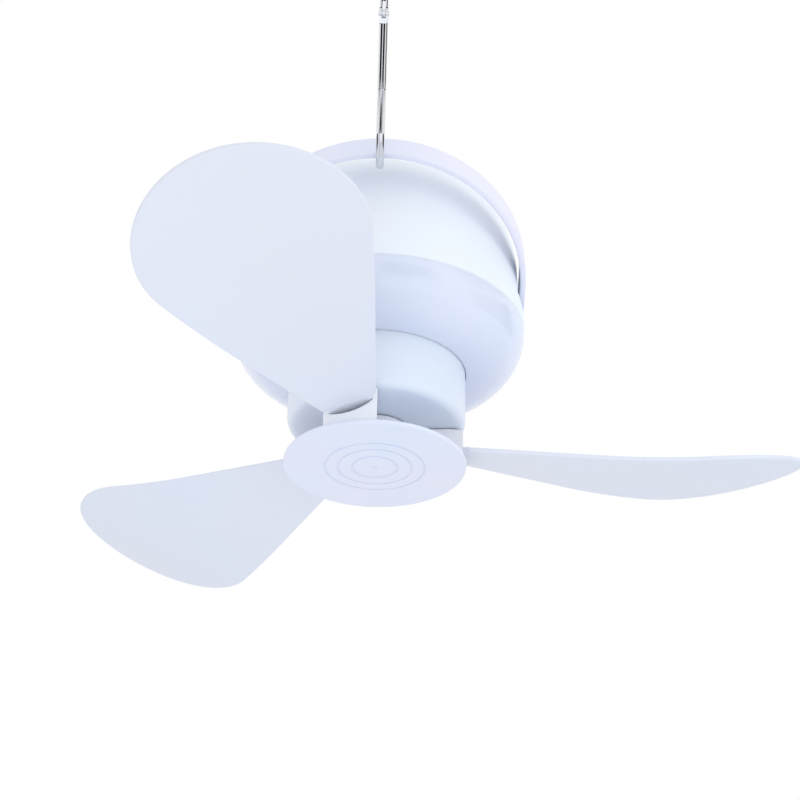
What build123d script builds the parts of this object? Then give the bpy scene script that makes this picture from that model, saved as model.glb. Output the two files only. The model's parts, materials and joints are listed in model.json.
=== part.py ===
from build123d import *
import os
from math import asin, atan2, cos, hypot, radians, sin, sqrt, tan

# Portable hanging fan with a light bowl, three paddle blades, a strap bail and a snap hook.
#
# Frame: millimetres, +Z up along the spin axis, the origin in the middle of the hub cap's face.
# The bail turns about an axis along X and leans towards -Y. The buttons and the port face +Y.

# Shell and light bowl
body_radius = 66.0
side_radius = 219.0
side_height = 40.0
shoulder_radius = 39.0
shell_wall = 2.4
bowl_height = 21.4
bowl_wall = 2.0
lip_height = 3.0
lip_wall = 1.5
lip_gap = 0.2
part_gap = 0.3
seat_gap = 0.05
running_gap = 0.04
seam_groove = 0.35

# Neck that holds the motor, and the deck that everything hangs from
neck_share = 0.597
neck_height = 46.5
neck_wall = 2.2
neck_floor = 2.4
neck_edge = 4.0
neck_hole_radius = 9.0
flange_reach = 7.0
flange_thickness = 2.0
flange_screw_reach = 3.8
deck_drop = 2.0
deck_thickness = 2.5
deck_ledge_gap = 0.5
deck_hole_radius = 30.0
post_inset = 12.0
post_angle = 30.0
post_radius = 3.5
post_length = 18.0
rib_width = 2.0
rib_drop = 1.0

# Light
board_thickness = 1.6
led_board_drop = 2.0
led_board_gap = 1.5
led_board_inset = 6.5
led_size = 3.0
led_height = 1.2
led_count = 24
led_standoff_radius = 2.6

# Screws
screw_radius = 1.25
screw_head_radius = 2.4
screw_head_height = 1.4
screw_length = 8.0
screw_clearance = 0.25

# Motor
shaft_radius = 2.0
shaft_end_gap = 1.6
can_floor_gap = 2.0
can_share = 0.65
can_side_gap = 2.1
can_wall = 2.0
can_height = 16.6
can_edge = 1.0
can_boss_radius = 6.0
magnet_thickness = 1.8
magnet_rise = 1.0
air_gap = 0.6
stator_height = 9.0
stator_rise = 5.6
stator_hub_wall = 3.5
tooth_count = 9
tooth_width = 3.2
tooth_root = 1.0
tooth_tip = 2.6
tooth_tip_angle = 31.0
coil_thickness = 1.6
coil_root_gap = 1.4
coil_tip_gap = 0.3
bearing_radius = 5.0
bearing_height = 4.0
bearing_shoulder = 1.0
tube_wall = 2.0
tube_step = 1.0
base_gap = 3.0
base_thickness = 2.5
motor_boss_radius = 3.4
motor_screw_count = 3
clip_radius = 3.2
clip_thickness = 0.6
clip_gap = 0.1

# Hub, cap and blades
cap_radius = 40.0
cap_thickness = 2.0
inner_ring_radius = 9.8
middle_ring_radius = 16.2
outer_ring_radius = 21.8
cap_ring_width = 1.1
cap_ring_depth = 0.35
cap_dot_radius = 1.3
cap_edge = 0.6
peg_ring_radius = 10.3
peg_radius = 1.6
peg_length = 5.0
hub_radius = 14.0
hub_height = 16.3
hub_clearance = 0.6
nut_pocket_radius = 5.6
nut_pocket_depth = 5.2
nut_width = 7.0
nut_height = 2.4
blade_count = 3
blade_azimuth = 12.6
blade_rise = 9.5
blade_pitch = 14.1
blade_thickness = 1.9
blade_root_gap = 0.5
blade_edge = 0.6
blade_root_width = 24.5
blade_tip_centre = 153.3
blade_tip_radius = 44.9
blade_tip_margin = 10.0
blade_curve_start = 97.0
blade_curve_radius = 372.0
tongue_start = 16.0
tongue_width = 20.0
tongue_thickness = 3.0
tongue_overlap = 1.0
tongue_taper = 18.0
socket_inset = 1.5
socket_wall = 2.3
socket_gap = 0.2
collar_start = 8.0
socket_corner = 3.0
notch_drop = 3.0
notch_depth = 8.0
notch_start = 1.0

# Bail and the flats that it turns on
pivot_rise = 13.2
bail_leg = 19.0
bail_thickness = 2.5
bail_width = 14.6
bail_edge = 0.7
bail_lean = 65.0
bail_lean_limit = 75.0
bail_flat_gap = 1.45
bail_side_gap = 0.8
hinge_flat_depth = 4.5
hinge_pad = 3.0
hinge_pad_half = 27.0
hinge_boss_radius = 6.5
hinge_boss_length = 2.5
stud_radius = 3.0
stud_end_gap = 0.2
washer_radius = 5.5
washer_thickness = 1.4

# Snap hook
wire_radius = 1.8
hook_strap_gap = 2.6
hook_lean = 30.0
hook_reach = 57.0
hook_forward = 2.6
hook_rise = 4.2
hook_slide = -1.5
nose_length = 18.4
gate_drop = 6.0
gate_radius = 1.9
gate_tip_gap = 0.5
gate_eye_radius = 2.4
gate_tab = 1.4
gate_cheek = 1.1
gate_side_gap = 0.2
gate_root_overlap = 1.0
gate_pin_radius = 0.8

# Battery and electronics
cell_radius = 9.2
cell_length = 65.0
cell_cap_length = 1.0
cell_cap_radius = 3.1
cell_edge = 0.8
cell_count = 3
cell_pitch = 19.2
cell_inset = 30.0
tray_wall = 1.6
tray_side_height = 11.0
cell_gap = 0.3
board_inset = 13.9
board_width = 46.0
board_rise = 4.0
board_height = 34.0
board_post_radius = 3.0
board_post_inset = 4.0
button_radius = 5.0
button_spacing = 20.0
button_rise = 27.0
button_flange_inset = 7.1
button_flange_radius = 6.0
button_flange_thickness = 1.0
button_edge = 0.8
button_travel = 1.0
button_gap = 0.3
switch_width = 6.0
switch_body_height = 2.2
switch_stem_radius = 1.5
switch_gap = 0.2
port_rise = 10.5
port_width = 9.0
port_depth = 3.3
port_wall = 0.3
port_floor = 2.0
port_gap = 0.4
port_tongue_width = 6.3
port_tongue_thickness = 0.7
port_tongue_inset = 1.2
lens_radius = 1.5
lens_rise = 36.0
lens_inset = 0.6

# Heights that follow, from the cap's face up
blade_height = cap_thickness + blade_rise
hub_top = cap_thickness + hub_height
neck_bottom = hub_top + hub_clearance
neck_inner_floor = neck_bottom + neck_floor
can_bottom = neck_inner_floor + can_floor_gap
stator_bottom = can_bottom + stator_rise
tube_bottom = stator_bottom - tube_step
base_bottom = can_bottom + can_height + base_gap
base_top = base_bottom + base_thickness
deck_bottom = neck_bottom + neck_height
deck_top = deck_bottom + deck_thickness
led_board_top = deck_bottom - led_board_drop
seam_height = deck_bottom + deck_drop
shoulder_start = seam_height + side_height
above_shell = shoulder_start + 2 * shoulder_radius
bail_pivot_height = seam_height + pivot_rise
pad_bottom = seam_height + lip_height + part_gap
pad_top = shoulder_start + 2 * shell_wall
board_bottom = seam_height + board_rise
port_height = seam_height + port_rise
button_height = seam_height + button_rise
lens_height = seam_height + lens_rise
cell_centre_height = deck_top + tray_wall + cell_radius

# Distances from the spin axis that follow, from the body inwards
lip_outer = body_radius - shell_wall - lip_gap
lip_inner = lip_outer - lip_wall
deck_radius = lip_inner - part_gap
post_ring_radius = body_radius - post_inset
bowl_centre = body_radius - bowl_height
neck_radius = body_radius * neck_share
bowl_inner_edge = neck_radius + part_gap
flange_radius = neck_radius + flange_reach
flange_screw_ring_radius = neck_radius + flange_screw_reach
led_board_inner = flange_radius + led_board_gap
led_board_outer = body_radius - led_board_inset
led_ring_radius = (led_board_inner + led_board_outer) / 2
can_radius = neck_radius * can_share
motor_boss_ring_radius = can_radius + can_side_gap + motor_boss_radius
can_inner = can_radius - can_wall
magnet_inner = can_inner - magnet_thickness
stator_radius = magnet_inner - air_gap
tube_radius = bearing_radius + tube_wall
stator_hub_radius = tube_radius + stator_hub_wall
socket_end = cap_radius - socket_inset
blade_root = socket_end + blade_root_gap
hinge_flat = body_radius - hinge_flat_depth
hinge_inside = hinge_flat - hinge_pad
hinge_boss_end = hinge_inside - hinge_boss_length
bail_inner = hinge_flat + bail_flat_gap
bail_outer = bail_inner + bail_thickness
bail_radius = (bail_inner + bail_outer) / 2
cell_front = cell_inset - body_radius
board_front = body_radius - board_inset
board_back = board_front + board_thickness
button_face = body_radius
button_flange = body_radius - button_flange_inset
port_end = body_radius - shell_wall

# Snap hook sizes that follow
hook_inner_radius = bail_width / 2 + hook_strap_gap
hook_wire_offset = hook_inner_radius + wire_radius
gate_pivot = hook_reach - gate_drop

back = Plane(origin=(0, 0, 0), x_dir=(-1, 0, 0), z_dir=(0, 1, 0))


def blade_plane(azimuth):
    # x runs out along the blade, y across it to the raised edge
    turn = radians(azimuth)
    pitch = radians(blade_pitch)
    return Plane(
        origin=(0, 0, blade_height),
        x_dir=(cos(turn), sin(turn), 0),
        z_dir=(sin(turn) * sin(pitch), -cos(turn) * sin(pitch), cos(pitch)),
    )


def blade_side_plane(azimuth):
    # x runs out along the blade, y up from its face
    plane = blade_plane(azimuth)
    return Plane(origin=plane.origin, x_dir=plane.x_dir, z_dir=-plane.y_dir)


def shell_solid(inset):
    # The shell's outside, moved in by inset: a gently curved side and a round shoulder
    turn = asin((shoulder_start - seam_height) / side_radius)
    half = turn / 2
    middle = (turn + radians(90)) / 2
    side = side_radius - inset
    shoulder = shoulder_radius - inset
    side_x = body_radius - side_radius
    shoulder_x = side_x + (side_radius - shoulder_radius) * cos(turn)
    shoulder_z = seam_height + (side_radius - shoulder_radius) * sin(turn)
    rim = (side_x + side, seam_height)
    side_middle = (side_x + side * cos(half), seam_height + side * sin(half))
    corner = (side_x + side * cos(turn), seam_height + side * sin(turn))
    shoulder_middle = (shoulder_x + shoulder * cos(middle), shoulder_z + shoulder * sin(middle))
    crown = (shoulder_x, shoulder_z + shoulder)
    with BuildPart() as solid:
        with BuildSketch(Plane.XZ):
            with BuildLine():
                Line((0, seam_height), rim)
                ThreePointArc(rim, side_middle, corner)
                ThreePointArc(corner, shoulder_middle, crown)
                Line(crown, (0, crown[1]))
                Line((0, crown[1]), (0, seam_height))
            make_face()
        revolve(axis=Axis.Z)
    return solid.part


def ring(inner_radius, outer_radius, bottom, height):
    # A plain round ring or disc about the spin axis
    with BuildPart() as solid:
        with BuildSketch(Plane.XY.offset(bottom)):
            Circle(outer_radius)
            if inner_radius > 0:
                Circle(inner_radius, mode=Mode.SUBTRACT)
        extrude(amount=height)
    return solid.part


def post_plane(angle, height):
    # x runs out from the spin axis towards a screw post
    turn = radians(angle)
    return Plane(origin=(0, 0, height), x_dir=(cos(turn), sin(turn), 0), z_dir=(0, 0, 1))


def seam_ring():
    # The fine groove that runs round the seam, cut half from the shell and half from the bowl
    with BuildPart() as solid:
        with BuildSketch(Plane.XZ):
            with Locations((body_radius, seam_height)):
                Circle(seam_groove)
        revolve(axis=Axis.Z)
    return solid.part


post_angles = (post_angle, 180 - post_angle, 180 + post_angle, -post_angle)
blade_azimuths = [blade_azimuth + 360 / blade_count * index for index in range(blade_count)]
peg_start = blade_azimuth + 180 / blade_count
button_places = ((button_spacing / 2, button_height), (-button_spacing / 2, button_height))
board_posts = (
    (board_width / 2 - board_post_inset, board_bottom + board_post_inset),
    (board_post_inset - board_width / 2, board_bottom + board_post_inset),
    (board_width / 2 - board_post_inset, board_bottom + board_height - board_post_inset),
    (board_post_inset - board_width / 2, board_bottom + board_height - board_post_inset),
)
shell_outside = shell_solid(0)
shell_inside = shell_solid(shell_wall)

# Upper shell: the wall, the pads that carry the bail, screw posts and board posts
with BuildPart() as upper_shell:
    add(shell_outside)
    add(shell_inside, mode=Mode.SUBTRACT)
    for side in (-1, 1):
        with BuildSketch(Plane.YZ.offset(side * hinge_inside)):
            with Locations((0, (pad_bottom + pad_top) / 2)):
                Rectangle(2 * hinge_pad_half, pad_top - pad_bottom)
        extrude(amount=side * (body_radius - hinge_inside))
        with BuildSketch(Plane.YZ.offset(side * hinge_inside)):
            with Locations((0, bail_pivot_height)):
                Circle(hinge_boss_radius)
        extrude(amount=-side * hinge_boss_length)
    for angle in post_angles:
        with BuildSketch(post_plane(angle, deck_top)):
            with Locations((post_ring_radius, 0)):
                Circle(post_radius)
        extrude(amount=post_length)
        with BuildSketch(post_plane(angle, deck_top + lip_height + rib_drop)):
            with Locations(((post_ring_radius + body_radius) / 2, 0)):
                Rectangle(body_radius - post_ring_radius, rib_width)
        extrude(amount=post_length - lip_height - rib_drop)
    with BuildSketch(back.offset(board_back)):
        with Locations(*board_posts):
            Circle(board_post_radius)
    extrude(amount=body_radius - board_back)
    add(shell_outside, mode=Mode.INTERSECT)
    # Flats under the bail's legs, as wide as the legs sweep
    for side in (-1, 1):
        reach = bail_width / 2 + bail_side_gap
        lean = radians(bail_lean_limit)
        low = (reach * cos(lean), bail_pivot_height - reach * sin(lean))
        far = (low[0] + body_radius * sin(lean), low[1] + body_radius * cos(lean))
        with BuildSketch(Plane.YZ.offset(side * hinge_flat)):
            with BuildLine():
                Polyline(
                    low,
                    far,
                    (far[0], above_shell),
                    (-far[0], above_shell),
                    (-far[0], far[1]),
                    (-low[0], low[1]),
                    close=True,
                )
            make_face()
            with Locations((0, bail_pivot_height)):
                Circle(reach)
        extrude(amount=side * body_radius, mode=Mode.SUBTRACT)
        with BuildSketch(Plane.YZ.offset(side * hinge_boss_end)):
            with Locations((0, bail_pivot_height)):
                Circle(stud_radius + running_gap)
        extrude(amount=side * body_radius, mode=Mode.SUBTRACT)
    # Pilot holes in the posts
    for angle in post_angles:
        with BuildSketch(post_plane(angle, deck_top)):
            with Locations((post_ring_radius, 0)):
                Circle(screw_radius + seat_gap)
        extrude(amount=screw_length, mode=Mode.SUBTRACT)
    with BuildSketch(back.offset(board_back)):
        with Locations(*board_posts):
            Circle(screw_radius + seat_gap)
    extrude(amount=screw_length / 2, mode=Mode.SUBTRACT)
    # Button holes, port and indicator
    with BuildSketch(back.offset(board_back)):
        with Locations(*button_places):
            Circle(button_radius + button_gap)
        with Locations((0, port_height)):
            SlotOverall(port_width + 2 * port_gap, port_depth + 2 * port_gap)
        with Locations((0, lens_height)):
            Circle(lens_radius + seat_gap)
    extrude(amount=body_radius, mode=Mode.SUBTRACT)
    add(seam_ring(), mode=Mode.SUBTRACT)

# Light bowl: a round-cornered translucent bowl that snaps into the shell
with BuildPart() as light_bowl:
    inner = bowl_height - bowl_wall
    bowl_bottom = seam_height - bowl_height
    ledge_drop = seam_height - deck_bottom + deck_ledge_gap
    ledge = (bowl_centre + sqrt(inner**2 - ledge_drop**2), seam_height - ledge_drop)
    diagonal = cos(radians(45))
    with BuildSketch(Plane.XZ):
        with BuildLine():
            Line((0, bowl_bottom), (bowl_centre, bowl_bottom))
            ThreePointArc(
                (bowl_centre, bowl_bottom),
                (bowl_centre + bowl_height * diagonal, seam_height - bowl_height * diagonal),
                (body_radius, seam_height),
            )
            Polyline(
                (body_radius, seam_height),
                (lip_outer, seam_height),
                (lip_outer, seam_height + lip_height),
                (lip_inner, seam_height + lip_height),
                (lip_inner, ledge[1]),
                ledge,
            )
            ThreePointArc(
                ledge,
                (bowl_centre + inner * diagonal, seam_height - inner * diagonal),
                (bowl_centre, seam_height - inner),
            )
            Polyline(
                (bowl_centre, seam_height - inner),
                (0, seam_height - inner),
                (0, bowl_bottom),
            )
        make_face()
    revolve(axis=Axis.Z)
    with BuildSketch(Plane.XY.offset(bowl_bottom)):
        Circle(bowl_inner_edge)
    extrude(amount=bowl_height, mode=Mode.SUBTRACT)
    add(seam_ring(), mode=Mode.SUBTRACT)

# Motor housing: the neck, open at the top, with a flange that hangs from the deck
with BuildPart() as motor_housing:
    with BuildSketch(Plane.XY.offset(neck_bottom)):
        Circle(neck_radius)
    extrude(amount=deck_bottom - neck_bottom)
    fillet(motor_housing.edges().sort_by(Axis.Z)[0], radius=neck_edge)
    with BuildSketch(Plane.XY.offset(deck_bottom - flange_thickness)):
        Circle(flange_radius)
    extrude(amount=flange_thickness)
    with BuildSketch(Plane.XY.offset(neck_inner_floor)):
        Circle(neck_radius - neck_wall)
    extrude(amount=deck_bottom, mode=Mode.SUBTRACT)
    with BuildSketch(Plane.XY.offset(neck_inner_floor)):
        with PolarLocations(motor_boss_ring_radius, motor_screw_count):
            Circle(motor_boss_radius)
    extrude(amount=base_bottom - neck_inner_floor)
    with BuildSketch(Plane.XY.offset(base_bottom)):
        with PolarLocations(motor_boss_ring_radius, motor_screw_count):
            Circle(screw_radius + seat_gap)
    extrude(amount=-screw_length, mode=Mode.SUBTRACT)
    with BuildSketch(Plane.XY.offset(neck_bottom)):
        Circle(neck_hole_radius)
    extrude(amount=neck_floor, mode=Mode.SUBTRACT)
    with BuildSketch(Plane.XY.offset(deck_bottom)):
        with PolarLocations(flange_screw_ring_radius, 4, start_angle=45):
            Circle(screw_radius + screw_clearance)
    extrude(amount=-flange_thickness, mode=Mode.SUBTRACT)

# Deck plate with bosses for the flange screws and standoffs for the light board
with BuildPart() as deck:
    with BuildSketch(Plane.XY.offset(deck_bottom)):
        Circle(deck_radius)
        Circle(deck_hole_radius, mode=Mode.SUBTRACT)
    extrude(amount=deck_thickness)
    with BuildSketch(Plane.XY.offset(led_board_top)):
        with PolarLocations(led_ring_radius, 4):
            Circle(led_standoff_radius)
    extrude(amount=deck_bottom - led_board_top)
    with BuildSketch(Plane.XY.offset(deck_top)):
        with PolarLocations(flange_screw_ring_radius, 4, start_angle=45):
            Circle(screw_radius + seat_gap)
        for angle in post_angles:
            turn = radians(angle)
            with Locations((post_ring_radius * cos(turn), post_ring_radius * sin(turn))):
                Circle(screw_radius + screw_clearance)
    extrude(amount=-deck_thickness, mode=Mode.SUBTRACT)
    with BuildSketch(Plane.XY.offset(led_board_top)):
        with PolarLocations(led_ring_radius, 4):
            Circle(screw_radius + seat_gap)
    extrude(amount=deck_thickness, mode=Mode.SUBTRACT)

# Light board and its lamps
with BuildPart() as led_board:
    with BuildSketch(Plane.XY.offset(led_board_top)):
        Circle(led_board_outer)
        Circle(led_board_inner, mode=Mode.SUBTRACT)
        with PolarLocations(led_ring_radius, 4):
            Circle(screw_radius + screw_clearance, mode=Mode.SUBTRACT)
    extrude(amount=-board_thickness)

with BuildPart() as leds:
    with BuildSketch(Plane.XY.offset(led_board_top - board_thickness)):
        with PolarLocations(led_ring_radius, led_count, start_angle=180 / led_count):
            Rectangle(led_size, led_size)
    extrude(amount=-led_height)

# Screws along the spin axis: each group is one node
with BuildPart() as led_screws:
    with BuildSketch(Plane.XY.offset(led_board_top - board_thickness)):
        with PolarLocations(led_ring_radius, 4):
            Circle(screw_head_radius)
    extrude(amount=-screw_head_height)
    with BuildSketch(Plane.XY.offset(led_board_top - board_thickness)):
        with PolarLocations(led_ring_radius, 4):
            Circle(screw_radius)
    extrude(amount=board_thickness + deck_thickness)

with BuildPart() as flange_screws:
    with BuildSketch(Plane.XY.offset(deck_bottom - flange_thickness)):
        with PolarLocations(flange_screw_ring_radius, 4, start_angle=45):
            Circle(screw_head_radius)
    extrude(amount=-screw_head_height)
    with BuildSketch(Plane.XY.offset(deck_bottom - flange_thickness)):
        with PolarLocations(flange_screw_ring_radius, 4, start_angle=45):
            Circle(screw_radius)
    extrude(amount=flange_thickness + deck_thickness)

with BuildPart() as shell_screws:
    for angle in post_angles:
        with BuildSketch(post_plane(angle, deck_bottom)):
            with Locations((post_ring_radius, 0)):
                Circle(screw_head_radius)
        extrude(amount=-screw_head_height)
        with BuildSketch(post_plane(angle, deck_bottom)):
            with Locations((post_ring_radius, 0)):
                Circle(screw_radius)
        extrude(amount=screw_length)

with BuildPart() as motor_screws:
    with BuildSketch(Plane.XY.offset(base_top)):
        with PolarLocations(motor_boss_ring_radius, motor_screw_count):
            Circle(screw_head_radius)
    extrude(amount=screw_head_height)
    with BuildSketch(Plane.XY.offset(base_top)):
        with PolarLocations(motor_boss_ring_radius, motor_screw_count):
            Circle(screw_radius)
    extrude(amount=-screw_length)

# Motor base: a plate on three bosses, with the tube that carries bearings and stator
with BuildPart() as motor_base:
    with BuildSketch(Plane.XY.offset(base_bottom)):
        Circle(motor_boss_ring_radius + motor_boss_radius)
    extrude(amount=base_thickness)
    with BuildSketch(Plane.XY.offset(base_bottom)):
        Circle(tube_radius)
    extrude(amount=tube_bottom - base_bottom)
    with BuildSketch(Plane.XY.offset(base_top)):
        Circle(bearing_radius + seat_gap)
    extrude(amount=-bearing_height, mode=Mode.SUBTRACT)
    with BuildSketch(Plane.XY.offset(tube_bottom)):
        Circle(bearing_radius + seat_gap)
    extrude(amount=bearing_height, mode=Mode.SUBTRACT)
    with BuildSketch(Plane.XY.offset(tube_bottom)):
        Circle(bearing_radius - bearing_shoulder)
    extrude(amount=base_top - stator_bottom, mode=Mode.SUBTRACT)
    with BuildSketch(Plane.XY.offset(base_top)):
        with PolarLocations(motor_boss_ring_radius, motor_screw_count):
            Circle(screw_radius + screw_clearance)
    extrude(amount=-base_thickness, mode=Mode.SUBTRACT)

bearing_bore = shaft_radius + running_gap
bearing_upper = ring(bearing_bore, bearing_radius, base_top - bearing_height, bearing_height)
bearing_lower = ring(bearing_bore, bearing_radius, tube_bottom, bearing_height)

# Stator: a laminated core with teeth, and a coil on each tooth
with BuildPart() as stator_core:
    with BuildSketch(Plane.XY.offset(stator_bottom)):
        Circle(stator_hub_radius)
        tooth_start = stator_hub_radius - tooth_root
        tooth_end = stator_radius - tooth_tip / 2
        with PolarLocations((tooth_start + tooth_end) / 2, tooth_count):
            Rectangle(tooth_end - tooth_start, tooth_width)
        with PolarLocations(0, tooth_count):
            with BuildLine():
                CenterArc((0, 0), stator_radius, -tooth_tip_angle / 2, tooth_tip_angle)
                CenterArc((0, 0), stator_radius - tooth_tip, -tooth_tip_angle / 2, tooth_tip_angle)
                for end in (-0.5, 0.5):
                    turn = radians(tooth_tip_angle * end)
                    low_tip = stator_radius - tooth_tip
                    Line(
                        (low_tip * cos(turn), low_tip * sin(turn)),
                        (stator_radius * cos(turn), stator_radius * sin(turn)),
                    )
            make_face()
        Circle(tube_radius + seat_gap, mode=Mode.SUBTRACT)
    extrude(amount=stator_height)

with BuildPart() as stator_coils:
    coil_start = stator_hub_radius + coil_root_gap
    coil_end = stator_radius - tooth_tip - coil_tip_gap
    coil_width = tooth_width / 2 + coil_thickness
    tooth_half = tooth_width / 2 + seat_gap
    with BuildSketch(Plane.XY.offset(stator_bottom - coil_thickness)):
        with PolarLocations((coil_start + coil_end) / 2, tooth_count):
            Rectangle(coil_end - coil_start, 2 * coil_width)
    extrude(amount=stator_height + 2 * coil_thickness)
    with BuildSketch(Plane.XY.offset(stator_bottom - seat_gap)):
        with PolarLocations((coil_start + coil_end) / 2, tooth_count):
            Rectangle(coil_end - coil_start + 1, 2 * tooth_half)
    extrude(amount=stator_height + 2 * seat_gap, mode=Mode.SUBTRACT)

# Rotor: a can with magnets on the shaft, held by a clip above the upper bearing
with BuildPart() as rotor_can:
    with BuildSketch(Plane.XY.offset(can_bottom)):
        Circle(can_radius)
    extrude(amount=can_height)
    fillet(rotor_can.edges().sort_by(Axis.Z)[0], radius=can_edge)
    with BuildSketch(Plane.XY.offset(can_bottom + can_wall)):
        Circle(can_inner)
    extrude(amount=can_height, mode=Mode.SUBTRACT)
    with BuildSketch(Plane.XY.offset(hub_top)):
        Circle(can_boss_radius)
    extrude(amount=can_bottom - hub_top)
    with BuildSketch(Plane.XY.offset(hub_top)):
        Circle(shaft_radius + seat_gap)
    extrude(amount=can_height, mode=Mode.SUBTRACT)

magnet_bottom = can_bottom + can_wall + magnet_rise
magnet_height = can_height - can_wall - magnet_rise
rotor_magnets = ring(magnet_inner, can_inner - seat_gap, magnet_bottom, magnet_height)
shaft_bottom = cap_thickness + shaft_end_gap
shaft_length = base_top + 2 * clip_thickness - shaft_bottom
motor_shaft = ring(0, shaft_radius, shaft_bottom, shaft_length)
shaft_clip = ring(shaft_radius + seat_gap, clip_radius, base_top + clip_gap, clip_thickness)



# Blade hub: a barrel on the shaft with three collars, each with a pitched socket
def tapered(distance, mouth_half):
    # Half the width at a distance from the spin axis, when it is mouth_half at the socket's mouth
    return mouth_half + (distance - socket_end) * tan(radians(tongue_taper))


def wedge(near, far, mouth_half):
    # The four corners, in plan, of a tongue, its socket or a collar
    return [
        (near, -tapered(near, mouth_half)),
        (far, -tapered(far, mouth_half)),
        (far, tapered(far, mouth_half)),
        (near, tapered(near, mouth_half)),
    ]


def make_collar(azimuth):
    out = blade_plane(azimuth)
    across = Vector(-out.x_dir.Y, out.x_dir.X, 0)
    half = tongue_width / 2 + socket_gap + socket_wall
    with BuildPart() as collar:
        with BuildSketch(Plane(origin=out.x_dir * collar_start, x_dir=across, z_dir=out.x_dir)):
            with Locations((0, cap_thickness + hub_height / 2)):
                RectangleRounded(2 * half, hub_height, socket_corner)
        extrude(amount=body_radius)
        with BuildSketch(Plane(origin=(0, 0, cap_thickness), x_dir=out.x_dir, z_dir=(0, 0, 1))):
            with BuildLine():
                Polyline(*wedge(collar_start, socket_end + collar_start, half), close=True)
            make_face()
        extrude(amount=hub_height, mode=Mode.INTERSECT)
    return collar.part


with BuildPart() as blade_hub:
    with BuildSketch(Plane.XY.offset(cap_thickness)):
        Circle(hub_radius)
    extrude(amount=hub_height)
    for azimuth in blade_azimuths:
        add(make_collar(azimuth))
    with BuildSketch(Plane.XY.offset(cap_thickness)):
        Circle(socket_end)
    extrude(amount=hub_height, mode=Mode.INTERSECT)
    for azimuth in blade_azimuths:
        out = blade_plane(azimuth)
        mouth = out.from_local_coords((socket_end + notch_start, 0, 0))
        slot_floor = -tongue_thickness / 2 - socket_gap
        with BuildSketch(Plane(origin=mouth, x_dir=out.y_dir, z_dir=out.x_dir)):
            with BuildLine():
                Line((tongue_width / 2, slot_floor), (-tongue_width / 2, slot_floor))
                ThreePointArc(
                    (-tongue_width / 2, slot_floor),
                    (0, slot_floor - notch_drop),
                    (tongue_width / 2, slot_floor),
                )
            make_face()
        extrude(amount=-notch_start - notch_depth, mode=Mode.SUBTRACT)
        with BuildSketch(out):
            with BuildLine():
                near = tongue_start - socket_gap
                far = socket_end + socket_gap
                Polyline(*wedge(near, far, tongue_width / 2 + socket_gap), close=True)
            make_face()
        extrude(amount=tongue_thickness / 2 + socket_gap, both=True, mode=Mode.SUBTRACT)
    with BuildSketch(Plane.XY.offset(cap_thickness)):
        Circle(shaft_radius + seat_gap)
    extrude(amount=hub_top, mode=Mode.SUBTRACT)
    with BuildSketch(Plane.XY.offset(cap_thickness)):
        Circle(nut_pocket_radius)
        with PolarLocations(peg_ring_radius, blade_count, start_angle=peg_start):
            Circle(peg_radius + seat_gap)
    extrude(amount=nut_pocket_depth, mode=Mode.SUBTRACT)

with BuildPart() as hub_nut:
    with BuildSketch(Plane.XY.offset(cap_thickness + nut_pocket_depth)):
        RegularPolygon(nut_width / 2, 6, major_radius=False)
        Circle(shaft_radius + seat_gap, mode=Mode.SUBTRACT)
    extrude(amount=-nut_height)

# Hub cap: a thin disc with fine ring grooves and a dimple in its face, and pegs behind
with BuildPart() as hub_cap:
    with BuildSketch():
        Circle(cap_radius)
    extrude(amount=cap_thickness)
    fillet(hub_cap.edges(), radius=cap_edge)
    with BuildSketch():
        for ring_radius in (outer_ring_radius, middle_ring_radius, inner_ring_radius):
            Circle(ring_radius + cap_ring_width / 2)
            Circle(ring_radius - cap_ring_width / 2, mode=Mode.SUBTRACT)
        Circle(cap_dot_radius)
    extrude(amount=cap_ring_depth, mode=Mode.SUBTRACT)
    with BuildSketch(Plane.XY.offset(cap_thickness)):
        with PolarLocations(peg_ring_radius, blade_count, start_angle=peg_start):
            Circle(peg_radius)
    extrude(amount=peg_length)


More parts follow.
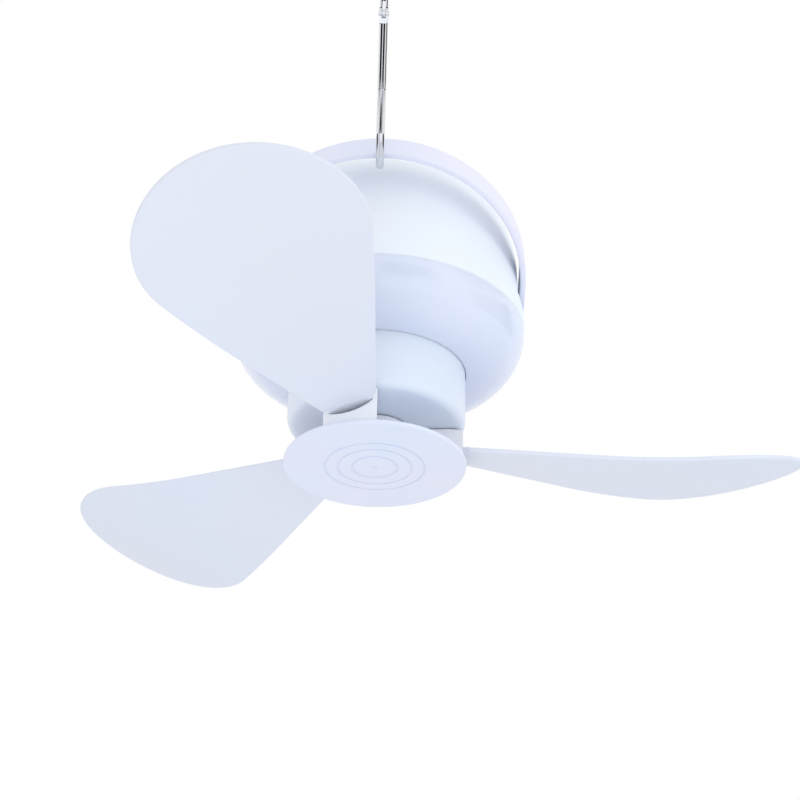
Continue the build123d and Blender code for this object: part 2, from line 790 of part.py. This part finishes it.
# Blade: a thin plate that curves up towards its tip, trimmed to a paddle, on a flat tongue
def make_blade(azimuth):
    half_root = blade_root_width / 2
    run = blade_tip_centre - blade_root
    slope = asin(blade_tip_radius / hypot(run, half_root)) - atan2(half_root, run)
    edge = (blade_tip_centre - blade_tip_radius * sin(slope), blade_tip_radius * cos(slope))
    tip = (blade_tip_centre + blade_tip_radius, 0)
    bend = (tip[0] + blade_tip_margin - blade_curve_start) / blade_curve_radius
    half = blade_thickness / 2
    outer = blade_curve_radius + half
    inside = blade_curve_radius - half
    centre_y = blade_curve_radius
    with BuildPart() as blade:
        with BuildSketch(blade_side_plane(azimuth)):
            with BuildLine():
                Line((blade_root, -half), (blade_curve_start, -half))
                ThreePointArc(
                    (blade_curve_start, -half),
                    (blade_curve_start + outer * sin(bend / 2), centre_y - outer * cos(bend / 2)),
                    (blade_curve_start + outer * sin(bend), centre_y - outer * cos(bend)),
                )
                Line(
                    (blade_curve_start + outer * sin(bend), centre_y - outer * cos(bend)),
                    (blade_curve_start + inside * sin(bend), centre_y - inside * cos(bend)),
                )
                ThreePointArc(
                    (blade_curve_start + inside * sin(bend), centre_y - inside * cos(bend)),
                    (blade_curve_start + inside * sin(bend / 2), centre_y - inside * cos(bend / 2)),
                    (blade_curve_start, half),
                )
                Polyline((blade_curve_start, half), (blade_root, half), (blade_root, -half))
            make_face()
        extrude(amount=2 * blade_tip_radius, both=True)
        with BuildSketch(blade_plane(azimuth)):
            with BuildLine():
                Line((blade_root, -half_root), (edge[0], -edge[1]))
                ThreePointArc((edge[0], -edge[1]), tip, edge)
                Line(edge, (blade_root, half_root))
                Line((blade_root, half_root), (blade_root, -half_root))
            make_face()
        extrude(amount=blade_tip_radius, both=True, mode=Mode.INTERSECT)
        fillet(blade.edges(), radius=blade_edge)
        with BuildSketch(blade_plane(azimuth)):
            with BuildLine():
                far = blade_root + tongue_overlap
                Polyline(*wedge(tongue_start, far, tongue_width / 2), close=True)
            make_face()
        extrude(amount=tongue_thickness / 2, both=True)
    return blade.part


blades = [make_blade(azimuth) for azimuth in blade_azimuths]

# Bail: a flat strap bent to a U, with studs that turn in the shell
bail_turn = radians(bail_lean)
bail_plane = Plane(
    origin=(0, 0, bail_pivot_height), x_dir=(1, 0, 0), z_dir=(0, -cos(bail_turn), -sin(bail_turn))
)
stud_end = hinge_boss_end - stud_end_gap
with BuildPart() as bail_handle:
    with BuildSketch(bail_plane):
        with BuildLine():
            Line((bail_outer, 0), (bail_outer, bail_leg))
            ThreePointArc((bail_outer, bail_leg), (0, bail_leg + bail_outer), (-bail_outer, bail_leg))
            Polyline(
                (-bail_outer, bail_leg),
                (-bail_outer, 0),
                (-bail_inner, 0),
                (-bail_inner, bail_leg),
            )
            ThreePointArc((-bail_inner, bail_leg), (0, bail_leg + bail_inner), (bail_inner, bail_leg))
            Polyline((bail_inner, bail_leg), (bail_inner, 0), (bail_outer, 0))
        make_face()
    extrude(amount=bail_width / 2, both=True)
    fillet(bail_handle.edges(), radius=bail_edge)
    for side in (-1, 1):
        with BuildSketch(Plane.YZ.offset(side * bail_inner)):
            with Locations((0, bail_pivot_height)):
                Circle(bail_width / 2)
        extrude(amount=side * bail_thickness)
        with BuildSketch(Plane.YZ.offset(side * bail_inner)):
            with Locations((0, bail_pivot_height)):
                Circle(stud_radius)
        extrude(amount=-side * (bail_inner - stud_end))

with BuildPart() as bail_washers:
    for side in (-1, 1):
        with BuildSketch(Plane.YZ.offset(side * stud_end)):
            with Locations((0, bail_pivot_height)):
                Circle(washer_radius)
        extrude(amount=-side * washer_thickness)

# Snap hook: wire bent round the bail, with a sprung gate in its front side
strap_middle = bail_plane.from_local_coords((0, bail_leg + bail_radius, 0))
hook_turn = radians(hook_lean)
hook_out = Vector(0, -cos(hook_turn), -sin(hook_turn))
hook_up = Vector(0, -sin(hook_turn), cos(hook_turn))
hook_plane = Plane(
    origin=strap_middle + hook_out * hook_forward + hook_up * hook_rise + Vector(hook_slide, 0, 0),
    x_dir=hook_out,
    z_dir=(-1, 0, 0),
)
with BuildPart() as snap_hook:
    with BuildLine(hook_plane) as wire:
        Line((hook_wire_offset, nose_length), (hook_wire_offset, 0))
        ThreePointArc((hook_wire_offset, 0), (0, -hook_wire_offset), (-hook_wire_offset, 0))
        Line((-hook_wire_offset, 0), (-hook_wire_offset, hook_reach))
        ThreePointArc(
            (-hook_wire_offset, hook_reach),
            (0, hook_reach + hook_wire_offset),
            (hook_wire_offset, hook_reach),
        )
        Line((hook_wire_offset, hook_reach), (hook_wire_offset, gate_pivot + gate_eye_radius))
    with BuildSketch(Plane(origin=wire.line @ 0, z_dir=wire.line % 0)):
        Circle(wire_radius)
    sweep(path=wire.line)
    with BuildSketch(hook_plane):
        with Locations((hook_wire_offset, gate_pivot)):
            Circle(gate_eye_radius)
        with Locations((hook_wire_offset, gate_pivot + gate_eye_radius)):
            Rectangle(2 * wire_radius, 2 * gate_eye_radius)
    extrude(amount=gate_tab / 2, both=True)
    with BuildSketch(hook_plane):
        with Locations((hook_wire_offset, gate_pivot)):
            Circle(gate_pin_radius + running_gap)
    extrude(amount=gate_tab, both=True, mode=Mode.SUBTRACT)

with BuildPart() as hook_gate:
    cheek_inner = gate_tab / 2 + gate_side_gap
    gate_bottom = nose_length + gate_tip_gap
    gate_top = gate_pivot - gate_eye_radius - gate_side_gap
    with BuildSketch(hook_plane):
        with Locations((hook_wire_offset, gate_pivot)):
            Circle(gate_eye_radius)
        with Locations((hook_wire_offset, (gate_pivot + gate_top) / 2 - gate_root_overlap)):
            Rectangle(2 * gate_radius, gate_pivot - gate_top + 2 * gate_root_overlap)
    extrude(amount=cheek_inner + gate_cheek, both=True)
    with BuildSketch(hook_plane):
        with Locations((hook_wire_offset, gate_pivot)):
            Circle(gate_pivot - gate_top)
            Rectangle(4 * gate_eye_radius, 2 * gate_eye_radius)
    extrude(amount=cheek_inner, both=True, mode=Mode.SUBTRACT)
    gate_end = hook_plane.from_local_coords((hook_wire_offset, gate_bottom, 0))
    with BuildSketch(Plane(gate_end, z_dir=hook_up)):
        Circle(gate_radius)
    extrude(amount=gate_top - gate_root_overlap - gate_bottom)
    with BuildSketch(hook_plane):
        with Locations((hook_wire_offset, gate_pivot)):
            Circle(gate_pin_radius + seat_gap)
    extrude(amount=2 * gate_radius, both=True, mode=Mode.SUBTRACT)

with BuildPart() as gate_pin:
    with BuildSketch(hook_plane):
        with Locations((hook_wire_offset, gate_pivot)):
            Circle(gate_pin_radius)
    extrude(amount=cheek_inner + gate_cheek + gate_side_gap, both=True)

# Battery tray and cells on the deck
cell_rows = [cell_front + index * cell_pitch for index in range(cell_count)]
tray_length = cell_length + 2 * (cell_gap + tray_wall)
tray_width = cell_pitch * cell_count
tray_middle = (cell_rows[0] + cell_rows[-1]) / 2
with BuildPart() as battery_tray:
    with BuildSketch(Plane.XY.offset(deck_top)):
        with Locations((0, tray_middle)):
            Rectangle(tray_length, tray_width)
    extrude(amount=tray_wall)
    with BuildSketch(Plane.XY.offset(deck_top)):
        for side in (-1, 1):
            with Locations((side * (tray_length - tray_wall) / 2, tray_middle)):
                Rectangle(tray_wall, tray_width)
    extrude(amount=tray_side_height)


def make_cell(row):
    with BuildPart() as cell:
        with BuildSketch(Plane.YZ.offset(-cell_length / 2)):
            with Locations((row, cell_centre_height)):
                Circle(cell_radius)
        extrude(amount=cell_length - cell_cap_length)
        fillet(cell.edges(), radius=cell_edge)
        with BuildSketch(Plane.YZ.offset(cell_length / 2 - cell_cap_length)):
            with Locations((row, cell_centre_height)):
                Circle(cell_cap_radius)
        extrude(amount=cell_cap_length)
    return cell.part


cells = [make_cell(row) for row in cell_rows]

# Main board behind the buttons, with its switches, port and screws
board_middle = board_bottom + board_height / 2
with BuildPart() as main_board:
    with BuildSketch(back.offset(board_front)):
        with Locations((0, board_middle)):
            Rectangle(board_width, board_height)
        with Locations(*board_posts):
            Circle(screw_radius + screw_clearance, mode=Mode.SUBTRACT)
    extrude(amount=board_thickness)

with BuildPart() as board_screws:
    with BuildSketch(back.offset(board_front)):
        with Locations(*board_posts):
            Circle(screw_head_radius)
    extrude(amount=-screw_head_height)
    with BuildSketch(back.offset(board_front)):
        with Locations(*board_posts):
            Circle(screw_radius)
    extrude(amount=board_thickness + screw_length / 2)

with BuildPart() as tact_switches:
    switch_top = button_flange - button_flange_thickness - button_travel - switch_gap
    with BuildSketch(back.offset(board_back)):
        with Locations(*button_places):
            Rectangle(switch_width, switch_width)
    extrude(amount=switch_body_height)
    with BuildSketch(back.offset(board_back)):
        with Locations(*button_places):
            Circle(switch_stem_radius)
    extrude(amount=switch_top - board_back)

with BuildPart() as usb_port:
    with BuildSketch(back.offset(board_back)):
        with Locations((0, port_height)):
            SlotOverall(port_width, port_depth)
    extrude(amount=port_end - board_back)
    with BuildSketch(back.offset(board_back + port_floor)):
        with Locations((0, port_height)):
            SlotOverall(port_width - 2 * port_wall, port_depth - 2 * port_wall)
    extrude(amount=port_end, mode=Mode.SUBTRACT)
    with BuildSketch(back.offset(board_back)):
        with Locations((0, port_height)):
            Rectangle(port_tongue_width, port_tongue_thickness)
    extrude(amount=port_end - board_back - port_tongue_inset)

with BuildPart() as indicator_lens:
    with BuildSketch(back.offset(board_back)):
        with Locations((0, lens_height)):
            Circle(lens_radius)
    extrude(amount=port_end - lens_inset - board_back)


def make_button(place):
    # A round key with a flange behind the shell's wall
    with BuildPart() as button:
        with BuildSketch(back.offset(button_flange - button_flange_thickness)):
            with Locations(place):
                Circle(button_flange_radius)
        extrude(amount=button_flange_thickness)
        with BuildSketch(back.offset(button_flange)):
            with Locations(place):
                Circle(button_radius)
        extrude(amount=button_face - button_flange)
        fillet(button.edges().sort_by(Axis.Y)[-1], radius=button_edge)
    return button.part


fan_button = make_button(button_places[0])
light_button = make_button(button_places[1])

# Names and files
pieces = {
    "upper_shell": upper_shell.part,
    "light_bowl": light_bowl.part,
    "motor_housing": motor_housing.part,
    "deck": deck.part,
    "led_board": led_board.part,
    "leds": leds.part,
    "led_screws": led_screws.part,
    "flange_screws": flange_screws.part,
    "shell_screws": shell_screws.part,
    "motor_screws": motor_screws.part,
    "motor_base": motor_base.part,
    "bearing_upper": bearing_upper,
    "bearing_lower": bearing_lower,
    "stator_core": stator_core.part,
    "stator_coils": stator_coils.part,
    "rotor_can": rotor_can.part,
    "rotor_magnets": rotor_magnets,
    "motor_shaft": motor_shaft,
    "shaft_clip": shaft_clip,
    "blade_hub": blade_hub.part,
    "hub_nut": hub_nut.part,
    "hub_cap": hub_cap.part,
    "blade_1": blades[0],
    "blade_2": blades[1],
    "blade_3": blades[2],
    "bail_handle": bail_handle.part,
    "bail_washers": bail_washers.part,
    "snap_hook": snap_hook.part,
    "hook_gate": hook_gate.part,
    "gate_pin": gate_pin.part,
    "battery_tray": battery_tray.part,
    "battery_cell_1": cells[0],
    "battery_cell_2": cells[1],
    "battery_cell_3": cells[2],
    "main_board": main_board.part,
    "board_screws": board_screws.part,
    "tact_switches": tact_switches.part,
    "usb_port": usb_port.part,
    "indicator_lens": indicator_lens.part,
    "fan_button": fan_button,
    "light_button": light_button,
}
os.makedirs("parts", exist_ok=True)
for name, piece in pieces.items():
    piece.label = name
    export_step(piece, f"parts/{name}.step")
print("bail strap middle", strap_middle)
print("hook bend centre", hook_plane.origin)
print("gate pivot", hook_plane.from_local_coords((hook_wire_offset, gate_pivot, 0)))
print("hook hanging point", hook_plane.from_local_coords((0, hook_reach + hook_inner_radius, 0)))
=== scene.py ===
import bpy
import json
from math import pi
from mathutils import Matrix, Vector

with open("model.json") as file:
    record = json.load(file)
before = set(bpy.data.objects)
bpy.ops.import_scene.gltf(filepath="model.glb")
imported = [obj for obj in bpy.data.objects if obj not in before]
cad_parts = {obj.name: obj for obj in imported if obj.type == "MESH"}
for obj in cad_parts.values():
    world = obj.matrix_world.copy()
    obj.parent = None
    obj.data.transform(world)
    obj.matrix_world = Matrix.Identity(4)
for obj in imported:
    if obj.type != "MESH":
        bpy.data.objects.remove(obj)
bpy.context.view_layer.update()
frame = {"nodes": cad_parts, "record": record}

nodes = frame["nodes"]
link = bpy.context.scene.collection.objects.link
print("frame loaded", len(nodes), "nodes")


# Camera
camera = {
    "place": (0.0029, -0.6948, -0.3609),
    "turn": -0.0107,
    "tilt": 0.5168,
    "roll": -0.023,
    "focal": 1793.0,      # in pixels of a frame 800 across
    "frame": 800.0,
    "sensor": 36.0,
    "near": 0.02,
    "far": 60.0,
}

lens = bpy.data.cameras.new("studioCamera")
lens.sensor_width = camera["sensor"]
lens.lens = camera["focal"] / camera["frame"] * camera["sensor"]
lens.clip_start = camera["near"]
lens.clip_end = camera["far"]
viewer = bpy.data.objects.new("studioCamera", lens)
link(viewer)
viewer.matrix_world = (
    Matrix.Translation(camera["place"])
    @ Matrix.Rotation(camera["turn"], 4, "Z")
    @ Matrix.Rotation(camera["tilt"] + pi / 2, 4, "X")
    @ Matrix.Rotation(-camera["roll"], 4, "Z")
)
bpy.context.scene.camera = viewer
bpy.context.scene.view_settings.view_transform = "Standard"
print("camera set")


# Shader maths
class Flow:
    # one output socket, so that maths on it reads as a sum
    def __init__(self, graph, socket):
        self.graph = graph
        self.socket = socket

    def maths(self, operation, first, second):
        return self.graph.add("Math", {0: first, 1: second}, operation=operation)

    def __add__(self, other):
        return self.maths("ADD", self, other)

    def __radd__(self, other):
        return self.maths("ADD", other, self)

    def __sub__(self, other):
        return self.maths("SUBTRACT", self, other)

    def __rsub__(self, other):
        return self.maths("SUBTRACT", other, self)

    def __mul__(self, other):
        return self.maths("MULTIPLY", self, other)

    def __rmul__(self, other):
        return self.maths("MULTIPLY", other, self)

    def sibling(self, name):
        # another output of the same node
        return Flow(self.graph, self.socket.node.outputs[name])


class Graph:
    # the nodes of one material or world
    def __init__(self, owner):
        owner.use_nodes = True
        self.owner = owner
        self.tree = owner.node_tree
        self.tree.nodes.clear()

    def plug(self, slot, value):
        if isinstance(value, Flow):
            self.tree.links.new(value.socket, slot)
        else:
            slot.default_value = value

    def add(self, kind, values=None, out=0, **settings):
        node = self.tree.nodes.new("ShaderNode" + kind)
        for name, setting in settings.items():
            setattr(node, name, setting)
        for name, value in (values or {}).items():
            self.plug(node.inputs[name], value)
        return Flow(self, node.outputs[out])

    def mix(self, factor, first, second):
        # sockets 6, 7 and the output 2 are the Mix node's colours
        pair = [value if isinstance(value, Flow) else (*value, 1.0) for value in (first, second)]
        return self.add("Mix", {0: factor, 6: pair[0], 7: pair[1]}, out=2, data_type="RGBA")

    def done(self, shader, kind="OutputMaterial"):
        output = self.tree.nodes.new("ShaderNode" + kind)
        self.plug(output.inputs["Surface"], shader)
        return self.owner


def newFinish(name):
    return Graph(bpy.data.materials.new(name))


def toLinear(colour):
    # display values from 0 to 255 to the light that they stand for
    parts = [value / 255 for value in colour]
    return tuple(part / 12.92 if part <= 0.04045 else ((part + 0.055) / 1.055) ** 2.4 for part in parts)


# Moulded plastics
plasticBase = {
    "warm": (238, 243, 249), "cool": (235, 245, 252),
    "driftScale": 14.0, "driftDetail": 3.0, "driftRange": (0.35, 0.65),
    "rubScale": 60.0, "rubDetail": 5.0, "rubRough": 0.6,
    "grainScale": 2600.0, "grainDetail": 2.0, "grainRange": (0.3, 0.7),
    "speck": 0.08, "speckTint": 0.86,
    "rough": 0.42, "roughDrift": 0.12,
    "grainStrength": 0.25, "grainDepth": 0.00004,
    "index": 1.49, "coat": 0.0, "coatRough": 0.12,
    "milk": 0.0, "milkDepth": (0.004, 0.004, 0.0045),
}
plastics = {
    "shell_plastic": ("shellPlastic", {}),
    "diffuser_plastic": ("milkyDiffuser", {
        "warm": (226, 229, 246), "cool": (217, 228, 250), "rough": 0.2, "roughDrift": 0.05,
        "grainStrength": 0.03, "speck": 0.02, "coat": 0.3, "milk": 0.25,
    }),
    "neck_plastic": ("neckPlastic", {"warm": (228, 233, 242), "cool": (222, 233, 246)}),
    "hub_plastic": ("hubPlastic", {"warm": (240, 240, 243), "cool": (235, 239, 246)}),
    "cap_plastic": ("capPlastic", {"warm": (231, 232, 245), "cool": (225, 233, 249), "rough": 0.36}),
    "blade_plastic": ("bladePlastic", {
        "warm": (226, 229, 239), "cool": (224, 230, 242), "driftScale": 9.0, "rough": 0.46,
    }),
    "bail_plastic": ("bailPlastic", {"warm": (234, 233, 248), "cool": (229, 235, 251)}),
    "button_plastic": ("buttonPlastic", {"warm": (205, 209, 220), "cool": (198, 206, 221), "rough": 0.5}),
    "inner_plastic": ("innerPlastic", {"warm": (200, 200, 202), "cool": (192, 195, 200), "rough": 0.55}),
    "light_board": ("solderMaskWhite", {"warm": (240, 240, 236), "cool": (234, 236, 236), "rough": 0.3}),
    "lamp": ("lampPhosphor", {"warm": (246, 228, 140), "cool": (240, 216, 120), "rough": 0.25}),
    "magnet": ("sinteredMagnet", {"warm": (60, 60, 62), "cool": (46, 47, 50), "rough": 0.6}),
    "cell_wrap": ("cellSleeve", {
        "warm": (58, 112, 172), "cool": (48, 100, 165), "rough": 0.22, "coat": 0.4,
    }),
    "circuit_board": ("solderMaskGreen", {
        "warm": (20, 92, 48), "cool": (14, 78, 40), "rough": 0.3, "coat": 0.3,
    }),
    "switch_plastic": ("switchPlastic", {"warm": (30, 30, 32), "cool": (24, 24, 27), "rough": 0.5}),
    "lens_plastic": ("indicatorLens", {
        "warm": (160, 222, 176), "cool": (140, 212, 165), "rough": 0.12, "coat": 0.5,
    }),
}


def mouldedPlastic(name, look):
    # satin moulded plastic: a spark-eroded grain, slow colour drift and handling gloss
    made = newFinish(name)
    place = made.add("TexCoord", out="Object")
    drift = made.add("TexNoise", {
        "Vector": place, "Scale": look["driftScale"], "Detail": look["driftDetail"],
    })
    grain = made.add("TexNoise", {
        "Vector": place, "Scale": look["grainScale"], "Detail": look["grainDetail"],
    })
    rubbed = made.add("TexNoise", {
        "Vector": place, "Scale": look["rubScale"], "Detail": look["rubDetail"],
        "Roughness": look["rubRough"],
    })
    warm = toLinear(look["warm"])
    blend = made.add("MapRange", {
        "Value": drift, "From Min": look["driftRange"][0], "From Max": look["driftRange"][1],
    })
    plain = made.mix(blend, warm, toLinear(look["cool"]))
    speck = made.add("MapRange", {
        "Value": grain, "From Min": look["grainRange"][0], "From Max": look["grainRange"][1],
        "To Min": 1.0 - look["speck"], "To Max": 1.0,
    })
    return made.done(made.add("BsdfPrincipled", {
        "Base Color": made.mix(speck, tuple(look["speckTint"] * part for part in warm), plain),
        "Roughness": look["rough"] + (rubbed - 0.5) * look["roughDrift"],
        "Normal": made.add("Bump", {
            "Height": grain, "Strength": look["grainStrength"], "Distance": look["grainDepth"],
        }),
        "IOR": look["index"],
        "Coat Weight": look["coat"],
        "Coat Roughness": look["coatRough"],
        "Subsurface Weight": look["milk"],
        "Subsurface Radius": look["milkDepth"],
        "Subsurface Scale": 1.0,
    }))


# Metals
metalBase = {
    "dark": (176, 178, 182), "light": (206, 208, 212), "metal": 1.0,
    "cloudScale": 40.0, "cloudDetail": 3.0,
    "stretch": (1.0, 1.0, 1.0), "lineScale": 900.0, "lineDetail": 4.0,
    "rough": 0.3, "roughDrift": 0.2,
    "lineStrength": 0.1, "lineDepth": 0.00002,
}
metals = {
    "hook_chrome": ("hookChrome", {
        "dark": (216, 217, 220), "light": (232, 233, 236), "rough": 0.04, "roughDrift": 0.03,
        "stretch": (1.0, 1.0, 0.15), "lineStrength": 0.02,
    }),
    "screw_steel": ("zincPlate", {}),
    "motor_aluminium": ("castAluminium", {"rough": 0.42}),
    "bearing_steel": ("groundSteel", {"rough": 0.18}),
    "core_steel": ("laminatedSteel", {
        "dark": (84, 86, 92), "light": (122, 124, 130), "stretch": (0.05, 0.05, 2.0), "lineScale": 1400.0,
    }),
    "copper_wire": ("enamelledCopper", {
        "dark": (150, 76, 38), "light": (196, 112, 62), "stretch": (0.1, 0.1, 3.0), "rough": 0.28,
    }),
    "motor_steel": ("coatedCan", {
        "dark": (52, 54, 58), "light": (72, 74, 78), "metal": 0.6, "rough": 0.4,
    }),
    "port_steel": ("stampedPort", {"rough": 0.25}),
}


def brushedMetal(name, look):
    # bare or plated metal: fine scratches that change gloss, and slow tarnish
    made = newFinish(name)
    place = made.add("TexCoord", out="Object")
    stretched = made.add("Mapping", {"Vector": place, "Scale": look["stretch"]})
    lines = made.add("TexNoise", {
        "Vector": stretched, "Scale": look["lineScale"], "Detail": look["lineDetail"],
    })
    cloud = made.add("TexNoise", {
        "Vector": place, "Scale": look["cloudScale"], "Detail": look["cloudDetail"],
    })
    return made.done(made.add("BsdfPrincipled", {
        "Base Color": made.mix(cloud, toLinear(look["dark"]), toLinear(look["light"])),
        "Metallic": look["metal"],
        "Roughness": look["rough"] + (lines - 0.5) * look["roughDrift"],
        "Normal": made.add("Bump", {
            "Height": lines, "Strength": look["lineStrength"], "Distance": look["lineDepth"],
        }),
    }))


finishes = {slot: mouldedPlastic(name, plasticBase | change) for slot, (name, change) in plastics.items()}
finishes |= {slot: brushedMetal(name, metalBase | change) for slot, (name, change) in metals.items()}
for part in frame["record"]["subparts"]:
    for slot in nodes[part["node"]].material_slots:
        slot.material = finishes[part["material_slot"]]
print("finishes", len(finishes))


# Floor
floorPaper = {
    "height": -1.4, "size": 14.0, "colour": (240, 242, 245),
    "fibreScale": 120.0, "fibreDetail": 4.0, "fibreTint": 0.97, "rough": 0.85,
}
bpy.ops.object.select_all(action="DESELECT")
bpy.ops.mesh.primitive_plane_add(size=floorPaper["size"], location=(0, 0, floorPaper["height"]))
floor = bpy.context.object
floor.name = "studioFloor"
bpy.ops.object.transform_apply(location=True)
made = newFinish("floorPaper")
fibre = made.add("TexNoise", {
    "Vector": made.add("TexCoord", out="Object"),
    "Scale": floorPaper["fibreScale"], "Detail": floorPaper["fibreDetail"],
})
pale = toLinear(floorPaper["colour"])
floor.data.materials.append(made.done(made.add("BsdfPrincipled", {
    "Base Color": made.mix(fibre, tuple(floorPaper["fibreTint"] * part for part in pale), pale),
    "Roughness": floorPaper["rough"],
})))

# World: plain white where it is seen or mirrored, a soft cool light everywhere else
sky = {
    "ambient": (0.93, 0.94, 0.965), "ambientStrength": 1.0,
    "backdrop": (1.0, 1.0, 1.0), "backdropStrength": 1.0,
}
world = bpy.data.worlds.new("studioWorld")
bpy.context.scene.world = world
made = Graph(world)
seen = made.add("LightPath", out="Is Camera Ray")
mirrored = seen.maths("MAXIMUM", seen.sibling("Is Glossy Ray"), seen.sibling("Is Transmission Ray"))
soft = made.add("Background", {"Color": (*sky["ambient"], 1.0), "Strength": sky["ambientStrength"]})
plain = made.add("Background", {"Color": (*sky["backdrop"], 1.0), "Strength": sky["backdropStrength"]})
factor = seen.maths("MAXIMUM", seen, mirrored)
made.done(made.add("MixShader", {0: factor, 1: soft, 2: plain}), "OutputWorld")

# Lamps: soft panels, of which only the key shows in reflections
lamps = {
    "keyPanel": {
        "place": (0.35, -1.05, -0.5), "aim": (0, 0, 0.08), "size": (1.0, 0.8),
        "power": 1.1, "colour": (1.0, 1.0, 1.0), "mirrored": True,
    },
    "lowPanel": {
        "place": (-0.25, -0.3, -0.58), "aim": (0, 0, 0.0), "size": (0.7, 0.6),
        "power": 0.7, "colour": (1.0, 0.98, 0.94), "mirrored": False,
    },
    "sidePanel": {
        "place": (1.1, -0.45, 0.05), "aim": (0, 0, 0.07), "size": (0.6, 0.6),
        "power": 2.0, "colour": (1.0, 1.0, 1.0), "mirrored": False,
    },
    "backPanel": {
        "place": (-0.6, 1.2, 0.8), "aim": (0, 0, 0.1), "size": (0.9, 0.9),
        "power": 0.9, "colour": (1.0, 1.0, 1.0), "mirrored": False,
    },
}
for name, panel in lamps.items():
    light = bpy.data.lights.new(name, "AREA")
    light.shape = "RECTANGLE"
    light.size, light.size_y = panel["size"]
    light.energy = panel["power"]
    light.color = panel["colour"]
    lamp = bpy.data.objects.new(name, light)
    link(lamp)
    lamp.visible_camera = False
    lamp.visible_glossy = panel["mirrored"]
    facing = (Vector(panel["aim"]) - Vector(panel["place"])).to_track_quat("-Z", "Y")
    lamp.matrix_world = Matrix.Translation(panel["place"]) @ facing.to_matrix().to_4x4()


# Dark cards that only reflections see: they draw the stripes along the chrome wire
def otherSide(corners):
    return tuple((-across, out, up) for across, out, up in reversed(corners))


cardFrame = {
    "root": (0.0, -0.0798, 0.118),
    "across": (1.0, 0.0, 0.0),
    "out": (0.0, -0.869, -0.494),      # towards the camera
    "up": (0.0, -0.5, 0.866),      # along the wire
}
lowCorners = (
    (0.0, 1, 0.185), (-0.15, 1, 0.172), (-0.45, 1, 0.162), (-0.9, 1, 0.152),
    (-1.2, 1, 0.14), (-1.3, 1, 0.12), (0.0, 1, 0.14),
)
bendCorners = ((-1.2, 0.45, -0.4), (-1.2, -0.7, -0.5), (-1.2, -0.7, 0.13), (-1.2, 0.45, 0.14))
# each card's grey, and its corners in metres: across, out and up from the root
cards = {
    "rightCard": (0.01, ((0.0, 1, 0.185), (1.0, 1, 0.185), (1.0, 1, 0.9), (0.0, 1, 0.9))),
    "leftCard": (0.01, ((-3.2, 1, 0.5), (-0.4, 1, 0.185), (-0.5, 1, 0.8), (-3.2, 1, 1.4))),
    "edgeCard": (0.2, ((1.2, 0.3, 0.2), (1.2, -0.7, 0.25), (1.2, -0.7, 0.9), (1.2, 0.3, 0.9))),
    "lowCardLeft": (0.01, lowCorners),
    "lowCardRight": (0.01, otherSide(lowCorners)),
    "bendCardLeft": (0.04, bendCorners),
    "bendCardRight": (0.04, otherSide(bendCorners)),
}
root, across, out, up = (Vector(cardFrame[key]) for key in ("root", "across", "out", "up"))
for name, (grey, corners) in cards.items():
    mesh = bpy.data.meshes.new(name)
    points = [root + side * across + near * out + high * up for side, near, high in corners]
    mesh.from_pydata(points, [], [range(len(points))])
    made = newFinish(name)
    mesh.materials.append(made.done(made.add("BsdfDiffuse", {"Color": (grey, grey, grey, 1.0)})))
    card = bpy.data.objects.new(name, mesh)
    link(card)
    card.visible_camera = False
    card.visible_diffuse = False
    card.visible_transmission = False
    card.visible_shadow = False
print("studio lit")
